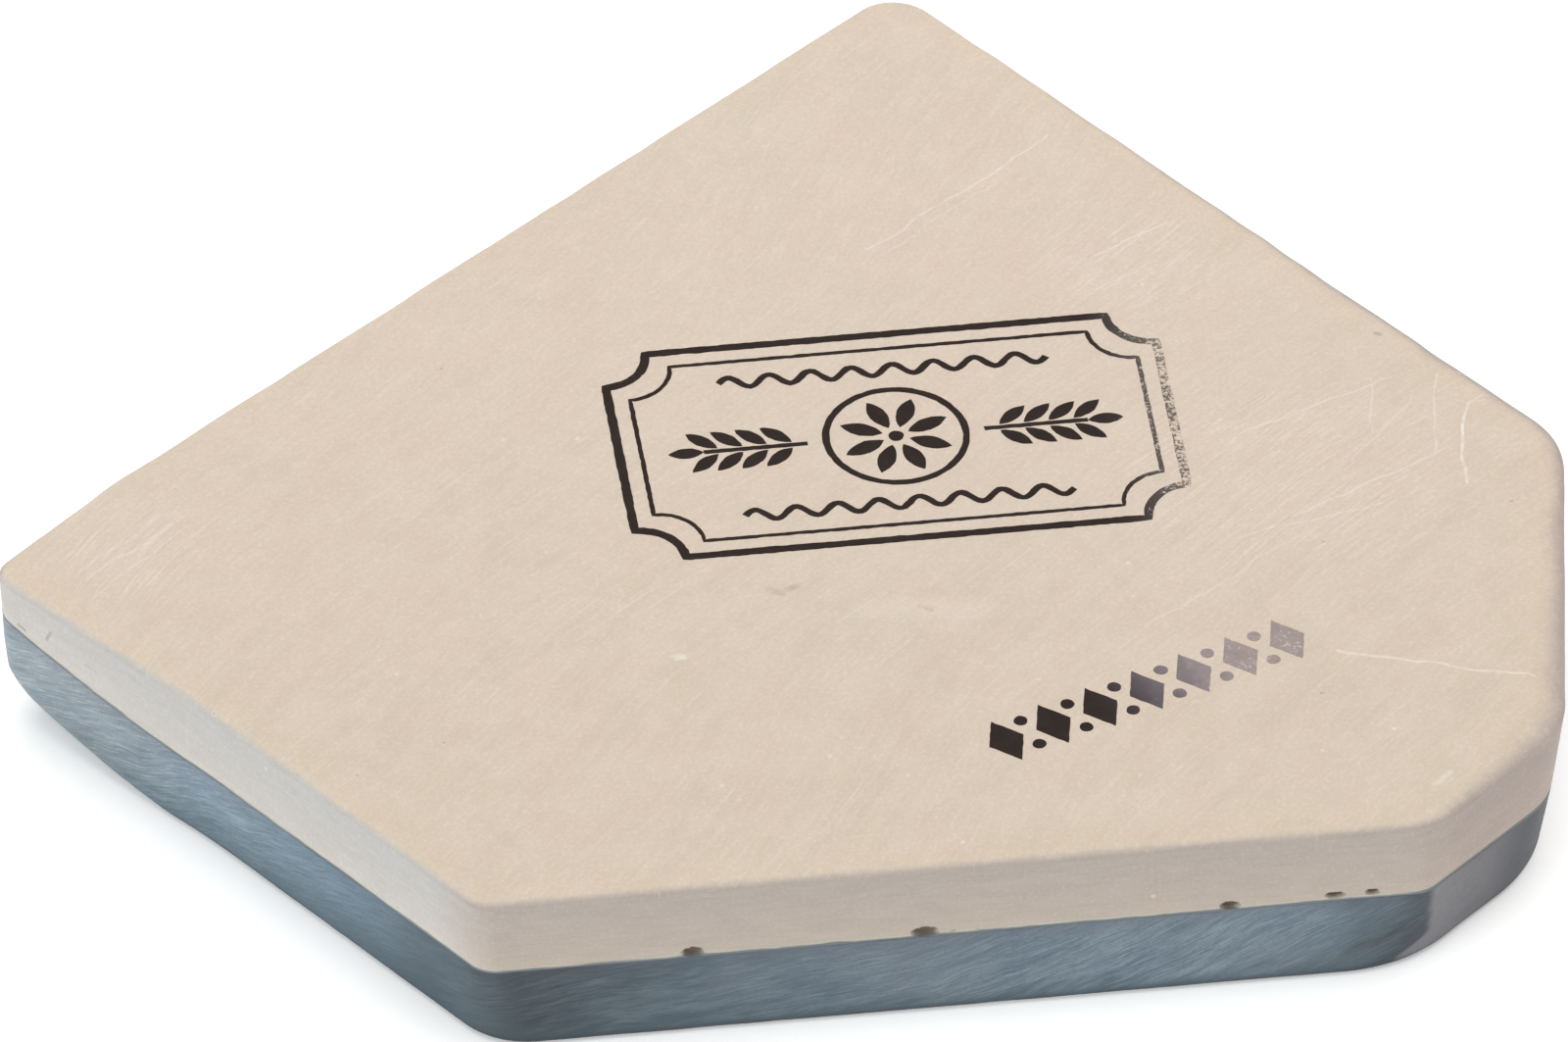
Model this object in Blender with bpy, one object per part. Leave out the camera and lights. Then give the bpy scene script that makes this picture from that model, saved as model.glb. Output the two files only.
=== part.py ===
"""Natural whetstone: a pale honing layer on blue-grey slate, sawn to one irregular slab.

The slab lies flat on its slate side. X runs along the straight front edge, Y to the back corner, Z up.
Both layers are lofts through the same rounded outline, whose sides lean inwards on their way down.
Towards the left corner the bond between the layers climbs, and the slate's bottom edge is dressed away.
"""

import math
from collections import namedtuple

import bpy
import bmesh
from mathutils import Matrix, Vector

MM = 0.001

# Thicknesses
SLATE_THICKNESS = 6.4 * MM
HONING_THICKNESS = 5.6 * MM
BOND_GAP = 0.3 * MM  # the bond seam between the layers
JOINT_HEIGHT = SLATE_THICKNESS + BOND_GAP / 2
TOP_HEIGHT = SLATE_THICKNESS + BOND_GAP + HONING_THICKNESS

# Corners, clockwise from above. radius: rounding in plan at the top, at the joint and at the base.
# ease and drop: width and depth of the chamfer that eases the top edge there. All in millimetres.
Corner = namedtuple("Corner", "name x y radius ease drop")
CORNERS = (
    Corner("left", -51.0, 1.7, (1.8, 1.8, 2.4), 0.50, 0.30),
    Corner("left_back", -42.2, 9.25, (60.0, 60.0, 60.0), 0.25, 0.20),
    Corner("back", 14.25, 51.15, (3.0, 3.0, 3.2), 0.25, 0.20),
    Corner("right", 50.72, 1.75, (7.0, 5.5, 5.0), 1.15, 0.35),
    Corner("right_front", 46.65, -25.65, (8.0, 5.5, 11.5), 1.90, 0.60),
    Corner("front_right", 36.9, -34.0, (5.0, 1.8, 10.0), 0.45, 0.30),
    Corner("front_left", -24.3, -34.0, (2.2, 2.2, 5.5), 0.45, 0.28),
    Corner("left_front", -39.85, -12.0, (60.0, 60.0, 60.0), 0.50, 0.28),
)

# Inward lean of each side, in degrees, on the honing layer and on the slate.
# A side is named for its first corner.
SIDE_LEAN = {
    "left": (1.2, 1.0),
    "left_back": (1.2, 1.0),
    "back": (2.0, 2.0),
    "right": (8.0, 5.5),
    "right_front": (2.0, 8.4),
    "front_right": (0.0, 0.2),
    "front_left": (3.7, 5.2),
    "left_front": (3.4, 4.6),
}

# Chamfer along the slate's bottom edge
FOOT_RISE = 0.35 * MM
FOOT_WIDTH = 0.25 * MM

# What the left corner adds: (amount at the corner, distance over which it fades, power of the fade)
BOND_CLIMB = (2.7 * MM, 18.0 * MM, 1.6)
FOOT_CLIMB = (4.8 * MM, 16.0 * MM, 1.6)
FOOT_CLIMB_SLOPE = 0.5  # extra chamfer width for each unit of extra rise

KNUCKLE = 0.12 * MM  # rounding where a chamfer meets a flat face
ARC_STEPS = 8
GENTLE_ARC_STEPS = 2
GENTLE_RADIUS = 20.0 * MM
EDGE_STEP = 3.0 * MM  # longest straight run between outline points
BOND_RINGS = (0.05, 0.11, 0.18, 0.27, 0.42)  # where the bond surface has points on its way to the middle

# Small open pits in the honing layer, just over the joint on the front side, in millimetres.
# z is the height of the middle over the bond seam.
Pit = namedtuple("Pit", "x z width height")
PITS = (
    Pit(-10.43, 0.11, 1.40, 0.80),
    Pit(4.37, 0.11, 1.80, 0.80),
    Pit(23.87, 0.11, 1.30, 0.65),
    Pit(30.61, 0.22, 1.20, 0.52),
    Pit(33.01, 0.22, 0.85, 0.50),
)
PIT_DEPTH = 0.5 * MM

HONING_COLOR = (0.72, 0.62, 0.51, 1.0)
SLATE_COLOR = (0.16, 0.22, 0.26, 1.0)


def clear_scene():
    for item in list(bpy.data.objects):
        bpy.data.objects.remove(item, do_unlink=True)


def make_collection(name):
    collection = bpy.data.collections.new(name)
    bpy.context.scene.collection.children.link(collection)
    return collection


def make_material(name, color, roughness):
    material = bpy.data.materials.new(name)
    material.use_nodes = True
    shader = material.node_tree.nodes["Principled BSDF"]
    shader.inputs["Base Color"].default_value = color
    shader.inputs["Roughness"].default_value = roughness
    shader.inputs["Metallic"].default_value = 0.0
    return material


def side_inset(side, height):
    """How far a side has moved inwards at a height, from its lean on the two layers."""
    honing, slate = (math.tan(math.radians(angle)) for angle in SIDE_LEAN[side])
    upper = TOP_HEIGHT - max(height, JOINT_HEIGHT)
    lower = max(JOINT_HEIGHT - height, 0.0)
    return honing * upper + slate * lower


def corner_radius(corner, height):
    top, joint, base = (radius * MM for radius in corner.radius)
    if height >= JOINT_HEIGHT:
        share = (height - JOINT_HEIGHT) / (TOP_HEIGHT - JOINT_HEIGHT)
        return joint + (top - joint) * share
    return base + (joint - base) * height / JOINT_HEIGHT


def inward(direction):
    """The normal of a plan direction that points into a clockwise outline: a right-hand turn."""
    return Vector((direction.y, -direction.x))


def corner_place(name):
    corner = next(corner for corner in CORNERS if corner.name == name)
    return Vector((corner.x, corner.y)) * MM


def climb(place, origin, rule):
    """What the left corner adds at a place measured from the origin, by a rule such as BOND_CLIMB."""
    amount, reach, power = rule
    distance = (place + origin - corner_place("left")).length
    return amount * max(0.0, 1.0 - distance / reach) ** power


def leaned_corners(height):
    """Corner places at a height: where neighbouring sides cross after each has moved inwards."""
    base = [Vector((corner.x, corner.y)) * MM for corner in CORNERS]
    count = len(base)
    lines = []
    for i, corner in enumerate(CORNERS):
        along = (base[(i + 1) % count] - base[i]).normalized()
        lines.append((base[i] + inward(along) * side_inset(corner.name, height), along))
    places = []
    for i in range(count):
        (p, u), (q, v) = lines[i - 1], lines[i]
        cross = u.x * v.y - u.y * v.x
        gap = q - p
        places.append(p + u * ((gap.x * v.y - gap.y * v.x) / cross))
    return places


def blend(a, b, share):
    return a + (b - a) * share


Point = namedtuple("Point", "place normal ease drop")


def corner_arc(before, place, after, corner, radius):
    """The rounding of one corner: points with their inward normals."""
    u = (place - before).normalized()
    v = (after - place).normalized()
    turn = u.angle_signed(v)  # positive to the right, as at a convex corner
    side = math.copysign(radius, turn)
    start = place - u * radius * math.tan(abs(turn) / 2)
    centre = start + inward(u) * side
    steps = GENTLE_ARC_STEPS if radius > GENTLE_RADIUS else ARC_STEPS
    points = []
    for step in range(steps + 1):
        normal = inward(u)
        normal.rotate(Matrix.Rotation(-turn * step / steps, 2))
        points.append(Point(centre - normal * side, normal, corner.ease * MM, corner.drop * MM))
    return points


def outline(height, origin):
    """The rounded outline at a height. It has as many points at every height, so it can be lofted."""
    places = [place - origin for place in leaned_corners(height)]
    count = len(places)
    arcs = [
        corner_arc(places[i - 1], place, places[(i + 1) % count], corner, corner_radius(corner, height))
        for i, (place, corner) in enumerate(zip(places, CORNERS))
    ]
    points = []
    for i, arc in enumerate(arcs):
        points.extend(arc)
        end = arcs[(i + 1) % count][0]
        length = (corner_place(CORNERS[i].name) - corner_place(CORNERS[(i + 1) % count].name)).length
        runs = max(1, math.ceil(length / EDGE_STEP))
        for step in range(1, runs):
            share = step / runs
            points.append(
                Point(
                    blend(arc[-1].place, end.place, share),
                    arc[-1].normal,
                    blend(arc[-1].ease, end.ease, share),
                    blend(arc[-1].drop, end.drop, share),
                )
            )
    return points


def middle(points):
    """Centre of the bounding box of an outline, which becomes the origin."""
    xs = [point.place.x for point in points]
    ys = [point.place.y for point in points]
    return Vector(((min(xs) + max(xs)) / 2, (min(ys) + max(ys)) / 2))


def make_walls():
    """The sides shared by both layers: (height, outline) from the top down, about the origin."""
    rim = outline(TOP_HEIGHT, Vector((0.0, 0.0)))
    origin = middle(rim)
    heights = (TOP_HEIGHT, JOINT_HEIGHT, 0.0)
    return [(height, outline(height, origin)) for height in heights], origin


def wall_point(walls, i, height):
    """Point i of the walls at a height, with straight lines from each outline to the next."""
    top, bottom = walls[:2] if height > walls[1][0] else walls[1:]
    share = (height - bottom[0]) / (top[0] - bottom[0])
    return blend(bottom[1][i].place, top[1][i].place, share)


def chamfer(width, depth):
    """(inset, distance from the flat face) along a chamfer whose two ends are rounded off."""
    length = math.hypot(width, depth)
    across, along = KNUCKLE * width / length, KNUCKLE * depth / length
    return (
        (0.0, depth + KNUCKLE),
        (across, depth - along),
        (width - across, along),
        (width + KNUCKLE, 0.0),
    )


def eased_rings(walls, flat_height, sizes, up):
    """Four rings from a wall to a flat face. sizes holds the chamfer (width, depth) at each outline point."""
    rings = [[], [], [], []]
    for i, (width, depth) in enumerate(sizes):
        normal = walls[0 if up else 2][1][i].normal
        for ring, (inset, fall) in zip(rings, chamfer(width, depth)):
            height = flat_height - fall if up else flat_height + fall
            ring.append((wall_point(walls, i, height) + normal * inset, height))
    return rings


def bond_rings(walls, level, origin):
    """Rings of a bond surface from the wall towards the middle, where it is flat at the level given."""
    wall = []
    for i, point in enumerate(walls[1][1]):
        height = level + climb(point.place, origin, BOND_CLIMB)
        wall.append((wall_point(walls, i, height), height))
    rings = [wall]
    for share in BOND_RINGS:
        inner = [place * (1.0 - share) for place, height in wall]
        rings.append([(place, level + climb(place, origin, BOND_CLIMB)) for place in inner])
    return rings


def loft(name, rings, collection, material):
    """A closed solid through rings of equal length, from the bottom up, with a flat cap at each end."""
    mesh = bmesh.new()
    loops = [[mesh.verts.new((place.x, place.y, height)) for place, height in ring] for ring in rings]
    count = len(loops[0])
    for lower, upper in zip(loops, loops[1:]):
        for i in range(count):
            j = (i + 1) % count
            mesh.faces.new((lower[i], upper[i], upper[j], lower[j]))
    mesh.faces.new(loops[0])
    mesh.faces.new(reversed(loops[-1]))
    bmesh.ops.recalc_face_normals(mesh, faces=mesh.faces)
    data = bpy.data.meshes.new(name)
    mesh.to_mesh(data)
    mesh.free()
    data.shade_smooth()
    data.set_sharp_from_angle(angle=math.radians(35))
    data.materials.append(material)
    solid = bpy.data.objects.new(name, data)
    collection.objects.link(solid)
    return solid


def make_honing_layer(walls, origin, collection, material):
    sizes = [(point.ease, point.drop) for point in walls[0][1]]
    rings = bond_rings(walls, SLATE_THICKNESS + BOND_GAP, origin)[::-1]
    rings += eased_rings(walls, TOP_HEIGHT, sizes, up=True)
    return loft("honing_layer", rings, collection, material)


def make_slate_backing(walls, origin, collection, material):
    climbs = [climb(point.place, origin, FOOT_CLIMB) for point in walls[2][1]]
    sizes = [(FOOT_WIDTH + FOOT_CLIMB_SLOPE * extra, FOOT_RISE + extra) for extra in climbs]
    rings = eased_rings(walls, 0.0, sizes, up=False)[::-1]
    rings += bond_rings(walls, SLATE_THICKNESS, origin)
    return loft("slate_backing", rings, collection, material)


def cut_pits(solid, origin, cutters):
    """Each pit is a flattened ball that bites into the front side."""
    front = corner_place("front_right").y - origin.y
    low = SLATE_THICKNESS + BOND_GAP
    for i, pit in enumerate(PITS):
        bpy.ops.mesh.primitive_uv_sphere_add(segments=16, ring_count=10, radius=1.0)
        ball = bpy.context.object
        ball.name = f"pit_cutter_{i + 1}"
        ball.scale = (pit.width / 2 * MM, PIT_DEPTH, pit.height / 2 * MM)
        ball.location = (pit.x * MM - origin.x, front, low + pit.z * MM)
        ball.hide_render = True
        ball.display_type = "WIRE"
        for owner in list(ball.users_collection):
            owner.objects.unlink(ball)
        cutters.objects.link(ball)
        cut = solid.modifiers.new(ball.name, "BOOLEAN")
        cut.operation = "DIFFERENCE"
        cut.solver = "EXACT"
        cut.object = ball


def main():
    clear_scene()
    parts = make_collection("natural_whetstone")
    cutters = make_collection("cutters")
    walls, origin = make_walls()
    honing = make_honing_layer(walls, origin, parts, make_material("honing_stone", HONING_COLOR, 0.7))
    make_slate_backing(walls, origin, parts, make_material("slate", SLATE_COLOR, 0.6))
    cut_pits(honing, origin, cutters)


main()
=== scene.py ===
"""Looks of the natural whetstone: two finely modelled layers, the bond line, ink stamps, light and camera.

The stone's lengths are in millimetres in the tables and functions, and become metres when a mesh is made.
The camera's, the lamps' and the floor's are in metres.
"""

import math
import random
from collections import namedtuple

import bmesh
import bpy
import numpy as np
from mathutils import Matrix, Vector, noise


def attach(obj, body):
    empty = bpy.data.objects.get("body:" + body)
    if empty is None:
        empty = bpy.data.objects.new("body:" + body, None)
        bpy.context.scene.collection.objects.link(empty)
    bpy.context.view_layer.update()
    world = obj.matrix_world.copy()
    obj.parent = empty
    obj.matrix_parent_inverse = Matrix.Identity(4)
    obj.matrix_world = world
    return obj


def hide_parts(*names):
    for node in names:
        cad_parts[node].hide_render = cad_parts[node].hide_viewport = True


MM = 0.001
NOISE_SEED = 1  # without one, noise_vector starts from the clock

# The part's own measures
TOP = 12.3
JOINT = 6.55
SLATE_TOP = 6.4
BOND_TOP = 6.7
ORIGIN = np.array((0.0367, 7.9724))  # the row frame's origin in the coordinates of CORNERS

# Corners at the top's height, clockwise: radius at the top, the joint and the base, and how far the eased
# edge goes in and down
Corner = namedtuple("Corner", "name x y radius ease drop")
CORNERS = (
    Corner("left", -51.0, 1.7, (1.8, 1.8, 2.4), 0.50, 0.30),
    Corner("left_back", -42.2, 9.25, (60.0, 60.0, 60.0), 0.25, 0.20),
    Corner("back", 14.25, 51.15, (3.0, 3.0, 3.2), 0.25, 0.20),
    Corner("right", 50.72, 1.75, (7.0, 5.5, 5.0), 1.15, 0.35),
    Corner("right_front", 46.65, -25.65, (8.0, 5.5, 11.5), 1.90, 0.60),
    Corner("front_right", 36.9, -34.0, (5.0, 1.8, 10.0), 0.45, 0.30),
    Corner("front_left", -24.3, -34.0, (2.2, 2.2, 5.5), 0.45, 0.28),
    Corner("left_front", -39.85, -12.0, (60.0, 60.0, 60.0), 0.50, 0.28),
)
LEFT, FRONT_LEFT = 0, 6  # places in CORNERS

# Degrees that the side after each corner leans inwards on its way down: honing layer, slate
SIDE_LEAN = {
    "left": (1.2, 1.0),
    "left_back": (1.2, 1.0),
    "back": (2.0, 2.0),
    "right": (8.0, 5.5),
    "right_front": (2.0, 8.4),
    "front_right": (0.0, 0.2),
    "front_left": (3.7, 5.2),
    "left_front": (3.4, 4.6),
}

# What the left corner adds to the heights of the joint and of the eased foot: amount, reach, power
BOND_CLIMB = (2.7, 18.0, 1.6)
FOOT_CLIMB = (4.8, 16.0, 1.6)
FOOT_CLIMB_SLOPE = 0.5
FOOT_RISE = 0.35
FOOT_WIDTH = 0.25
KNUCKLE = 0.12  # added to the eased edges in the scene alone

# Open pits over the joint on the front side: x, height of the middle over the bond, width, height
PITS = (
    (-10.43, 0.11, 1.40, 0.80),
    (4.37, 0.11, 1.80, 0.80),
    (23.87, 0.11, 1.30, 0.65),
    (30.61, 0.22, 1.20, 0.52),
    (33.01, 0.22, 0.85, 0.50),
)
PIT_DEPTH = 0.5

# Fineness of the modelled layers
ARC_STEPS = 16
FINE_STEP = 0.16  # along the front side, where the pits are
EDGE_STEP = 0.32
HONING_STEPS = (10, 17)  # rings on the honing layer's sides: near the joint, and above
PIT_ZONE = 0.17  # how far up those sides the first of them go
SLATE_STEPS = 22
TOP_STEPS, FOOT_STEPS = 9, 10  # on the eased edges
JOINT_SHARES = (0.02, 0.06, 0.2, 0.5)  # rings of a face at the joint, from its rim inwards
FACE_SHARES = (0.004, 0.012, 0.03, 0.07, 0.15, 0.3, 0.55, 0.8)  # the same on the top and the underside
SHARP_ANGLE = math.radians(38.0)

# How far the modelled layers depart from the part's own
SKIN = 0.015  # the surface lies inside it
TOP_SKIN = 0.025
SEAM_GAP = 0.004  # the bond line stops short of the layers
ROUNDING = 1.6  # shape of an eased edge: 2 is a flat chamfer, 1 an ellipse
HONING_WEAR, SLATE_WEAR = 0.05, 0.07

# Camera, as the photo was taken: target, direction of view, distance and roll
TARGET = Vector((-0.0000367, -0.0079724, 0.0123))
ELEVATION = math.radians(41.3)
AZIMUTH = math.radians(-8.2)
DISTANCE = 2.5
ROLL = math.radians(0.55)
LENS = 900.0
SENSOR = 36.0

# Light: name, place, size, power and colour of each lamp, all facing the stone
LAMPS = (
    ("key", (0.20, 0.26, 1.38), 2.0, 19.0, (1.0, 0.985, 0.955)),
    ("left", (-1.2, -0.75, 0.5), 0.9, 8.2, (0.80, 0.94, 1.0)),
)
WORLD_COLOR = (1.0, 0.99, 0.98)
WORLD_LIGHT = 0.52
FLOOR_GLOW = 0.28
FLOOR_SIZE = 4.0  # from its middle to its sides
FLOOR_GAP = 0.00004  # between the floor and the stone

# Stamp places in the row frame: centre, turn, and where along each the ink starts to fade and is gone
CARTOUCHE = ((8.2, -0.7), 0.0, (12.5, 19.5))
ROW = ((20.6, -27.0), math.radians(21.0), (-4.5, 8.0))
INK_TOP = 0.008  # depths below the part's top
INK_BOTTOM = 0.06

# Colours
WHITE = (1.0, 1.0, 1.0)
CREAM = (0.554, 0.465, 0.381)
# The sides' colours: darker than the top's cream partly as the stone's own colour and partly as painted
# shade; the left front side's is paler and cooler partly as painted light from the left
SIDE_CREAM_AND_SHADE = (0.420, 0.362, 0.322)
SIDE_PALE_AND_LIT = (0.470, 0.444, 0.423)
GRAIN_BROWN = (0.36, 0.29, 0.22)
GRAIN_PALE = (0.80, 0.74, 0.66)
HAIR_PALE = (0.72, 0.66, 0.59)
SCRATCH_PALE = (0.79, 0.75, 0.70)
SPECK_PALE = (0.74, 0.70, 0.65)
FRECKLE_BROWN = (0.24, 0.20, 0.17)
STAIN_BROWN = (0.20, 0.17, 0.15)
FLECK_GREY = (0.16, 0.15, 0.15)
PIT_BROWN = (0.190, 0.145, 0.110)
BOND_CREAM = (0.500, 0.480, 0.405)
BOND_GREY = (0.160, 0.180, 0.185)
SLATE_LIGHT = (0.186, 0.240, 0.276)
SLATE_DARK = (0.098, 0.142, 0.180)
SLATE_STROKE = (0.268, 0.315, 0.342)
SLATE_HAZE = (0.185, 0.195, 0.225)
SLATE_UNDER = (0.120, 0.125, 0.160)
SLATE_LOW = (0.050, 0.080, 0.094)
SLATE_GRAIN = (0.060, 0.075, 0.090)
SLATE_GREY = (0.160, 0.155, 0.168)
# Painted contact shadow along the slate's foot
PAINTED_FOOT_SHADOW = (0.018, 0.024, 0.030)
JOINT_LINE = (0.070, 0.070, 0.085)
INK_DARK = (0.012, 0.005, 0.004)
INK_BROWN = (0.026, 0.016, 0.014)
INK_GREY = (0.060, 0.052, 0.052)
INK_VIOLET = (0.150, 0.125, 0.165)

# Depths of the relief in the materials, in metres
FINE_BUMP = 0.02 * MM
SLATE_BUMP = 0.03 * MM

# How light the slate is along X
SLATE_SHADES = (
    (-50.0, 1.60),
    (-43.0, 1.62),
    (-36.0, 0.97),
    (-30.0, 0.90),
    (-24.0, 0.22),
    (-20.0, 0.36),
    (-13.0, 0.66),
    (-3.0, 0.84),
    (10.0, 0.98),
    (25.0, 1.14),
    (31.0, 0.95),
    (35.5, 0.10),
    (39.0, 0.50),
    (50.0, 0.80),
)
SHADES_MOST = 2.0

# Parts of the top with more fine streaks: x, y, reach
STREAKED = ((31.0, -8.0, 17.0), (-41.5, -5.0, 8.0), (25.0, 14.0, 9.0))
STREAKED_ELSEWHERE = 0.34
STREAK_TURN = math.radians(45.0)
HAIR_TURN = STREAK_TURN - 0.08

# Single scratches, smears and spots on the top: from, to, width, strength
PALE_MARKS = (
    ((8.9, 17.4), (21.9, 27.2), 0.10, 0.40),
    ((9.6, 16.7), (18.0, 23.2), 0.07, 0.25),
    ((23.2, 15.1), (28.2, 17.7), 0.09, 0.40),
    ((22.3, 11.4), (27.2, 14.4), 0.07, 0.30),
    ((43.3, 0.8), (41.9, -7.1), 0.09, 0.34),
    ((46.2, -1.3), (45.3, -2.3), 0.10, 0.30),
    ((45.3, -2.3), (44.6, -3.5), 0.12, 0.45),
    ((44.6, -3.5), (43.8, -6.6), 0.14, 0.75),
    ((43.8, -6.6), (43.9, -9.7), 0.12, 0.50),
    ((39.2, 1.1), (38.5, -4.1), 0.08, 0.30),
    ((30.2, -3.3), (40.5, 0.9), 0.10, 0.32),
    ((32.2, -11.6), (42.8, -6.4), 0.10, 0.36),
    ((28.5, -13.3), (38.3, -11.0), 0.09, 0.30),
    ((36.8, -6.8), (41.4, -1.2), 0.08, 0.30),
    ((21.4, -21.1), (32.6, -13.5), 0.09, 0.22),
    ((-44.8, -7.9), (-38.6, -3.0), 0.15, 0.26),
    ((-45.3, -7.1), (-38.8, -2.0), 0.13, 0.20),
    ((-44.6, -9.6), (-39.0, -4.6), 0.12, 0.20),
    ((33.2, -24.8), (37.0, -26.2), 0.14, 0.40),
    ((37.0, -26.2), (44.8, -28.5), 0.13, 0.50),
    ((44.8, -28.5), (46.6, -30.2), 0.12, 0.40),
    ((37.4, -38.4), (38.6, -37.3), 0.30, 0.32),
    ((4.1, -16.9), (11.2, -17.9), 1.10, 0.14),
    ((-8.8, -19.9), (-8.2, -19.9), 0.34, 0.45),
)
DARK_MARKS = (
    ((-1.9, -14.5), (-1.0, -14.8), 0.34, 0.36),
    ((-0.7, -14.5), (0.1, -14.4), 0.28, 0.34),
    ((7.4, -17.2), (8.0, -17.6), 0.25, 0.25),
    ((39.9, 5.1), (40.2, 5.0), 0.20, 0.40),
)

# Dark flecks on the left front side, by the left corner
SIDE_FLECKS = (
    ((-49.28, -8.14, 9.15), (-48.92, -8.57, 9.02), 0.16, 0.55),
    ((-47.72, -10.08, 9.46), (-47.51, -10.44, 10.30), 0.15, 0.42),
    ((-45.6, -12.69, 9.34), (-45.21, -13.16, 9.34), 0.10, 0.30),
    ((-45.1, -13.29, 9.31), (-44.89, -13.56, 9.32), 0.09, 0.30),
)


# Outline


def side_inset(side, height):
    honing, slate = (math.tan(math.radians(angle)) for angle in SIDE_LEAN[side])
    return honing * (TOP - max(height, JOINT)) + slate * max(JOINT - height, 0.0)


def inward(direction):
    return np.array((direction[1], -direction[0]))


def leaned_corners(height):
    """Corner places at a height, where neighbouring sides cross after each has leaned inwards."""
    base = np.array([(corner.x, corner.y) for corner in CORNERS])
    along = np.roll(base, -1, axis=0) - base
    along /= np.linalg.norm(along, axis=1)[:, None]
    starts = [base[i] + inward(along[i]) * side_inset(c.name, height) for i, c in enumerate(CORNERS)]
    places = []
    for i in range(len(CORNERS)):
        matrix = np.array((along[i - 1], -along[i])).T
        run = np.linalg.solve(matrix, starts[i] - starts[i - 1])
        places.append(starts[i - 1] + along[i - 1] * run[0])
    return places


def corner_arc(before, place, after, radius):
    """Places and inward normals along the rounding of one corner."""
    u = (place - before) / np.linalg.norm(place - before)
    v = (after - place) / np.linalg.norm(after - place)
    turn = math.atan2(u[1] * v[0] - u[0] * v[1], float(u @ v))
    side = math.copysign(radius, turn)
    centre = place - u * radius * math.tan(abs(turn) / 2) + inward(u) * side
    points = []
    for step in range(ARC_STEPS + 1):
        angle = -turn * step / ARC_STEPS
        n = inward(u)
        c, s = math.cos(angle), math.sin(angle)
        normal = np.array((n[0] * c - n[1] * s, n[0] * s + n[1] * c))
        points.append((centre - normal * side, normal))
    return points


def outline(height, level):
    """Places, inward normals and (ease, drop) of every outline point at a height, about the origin."""
    places = leaned_corners(height)
    count = len(places)
    arcs = [
        corner_arc(places[i - 1], places[i], places[(i + 1) % count], CORNERS[i].radius[level])
        for i in range(count)
    ]
    points, normals, easing = [], [], []
    for i, arc in enumerate(arcs):
        corner, after = CORNERS[i], CORNERS[(i + 1) % count]
        for place, normal in arc:
            points.append(place)
            normals.append(normal)
            easing.append((corner.ease, corner.drop))
        step = FINE_STEP if corner.name == "front_right" else EDGE_STEP
        runs = math.ceil(math.dist((corner.x, corner.y), (after.x, after.y)) / step)
        end = arcs[(i + 1) % count][0][0]
        for run in range(1, runs):
            share = run / runs
            points.append(arc[-1][0] * (1 - share) + end * share)
            normals.append(arc[-1][1])
            ease = corner.ease * (1 - share) + after.ease * share
            easing.append((ease, corner.drop * (1 - share) + after.drop * share))
    return np.array(points) - ORIGIN, np.array(normals), np.array(easing)


def climb(places, rule):
    """What the left corner adds to a height, at places in the row frame."""
    amount, reach, power = rule
    left = np.array((CORNERS[LEFT].x, CORNERS[LEFT].y)) - ORIGIN
    distance = np.linalg.norm(places - left, axis=-1)
    return amount * np.maximum(0.0, 1.0 - distance / reach) ** power


class Walls:
    """The sides of the slab as three outlines with straight lines between them."""

    def __init__(self):
        self.top, self.normal, easing = outline(TOP, 0)
        self.joint, self.joint_normal, _ = outline(JOINT, 1)
        self.base, self.base_normal, _ = outline(0.0, 2)
        self.ease, self.drop = easing[:, 0], easing[:, 1]

    def at(self, heights):
        heights = np.broadcast_to(heights, len(self.top))[:, None]
        upper = (heights - JOINT) / (TOP - JOINT)
        lower = heights / JOINT
        high = self.joint + (self.top - self.joint) * upper
        low = self.base + (self.joint - self.base) * lower
        return np.where(heights > JOINT, high, low)


# Surfaces


def rough(points, scale, seed):
    """Smooth noise from -1 to 1 at 3-D points, with features about 1/scale millimetres wide."""
    return np.array([noise.noise(Vector(p) * scale + Vector((seed, 0.0, 0.0))) for p in points])


def ring(places, heights):
    heights = np.broadcast_to(heights, len(places))
    return np.column_stack((places, heights))


def rounded_edge(walls, width, depth, flat, up, steps):
    """Rings from the wall round an eased edge to the flat face at height flat."""
    normal = walls.normal if up else walls.base_normal
    rings = []
    for step in range(steps + 1):
        angle = step / steps * math.pi / 2
        inset = width * (1 - max(0.0, math.cos(angle)) ** ROUNDING)
        fall = depth * (1 - math.sin(angle) ** ROUNDING)
        heights = flat - fall if up else flat + fall
        rings.append(ring(walls.at(heights) + normal * inset[:, None], heights))
    return rings


def fade(value, empty, full):
    """0 at empty, 1 at full, and a straight line between them."""
    return min(1.0, max(0.0, (value - empty) / (full - empty)))


def flat_face(rim):
    """Rings on the top or the underside, from the rim towards the middle."""
    return [np.column_stack((rim[:, :2] * (1 - share), rim[:, 2])) for share in FACE_SHARES]


def joint_face(rim, height):
    """Rings on a layer's face at the joint, from the rim towards the middle."""
    insets = [rim * (1 - share) for share in JOINT_SHARES]
    return [ring(places, height + climb(places, BOND_CLIMB)) for places in insets]


def wear(points, normals, amount, seed):
    """Shallow unevenness of a sawn and rubbed side, always inwards."""
    wave = 0.5 + 0.5 * rough(points, 0.22, seed)
    fine = 0.5 + 0.5 * rough(points, 1.3, seed + 9.0)
    depth = amount * (0.7 * wave + 0.3 * fine)
    points = points.copy()
    points[:, :2] += normals * depth[:, None]
    return points


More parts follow.
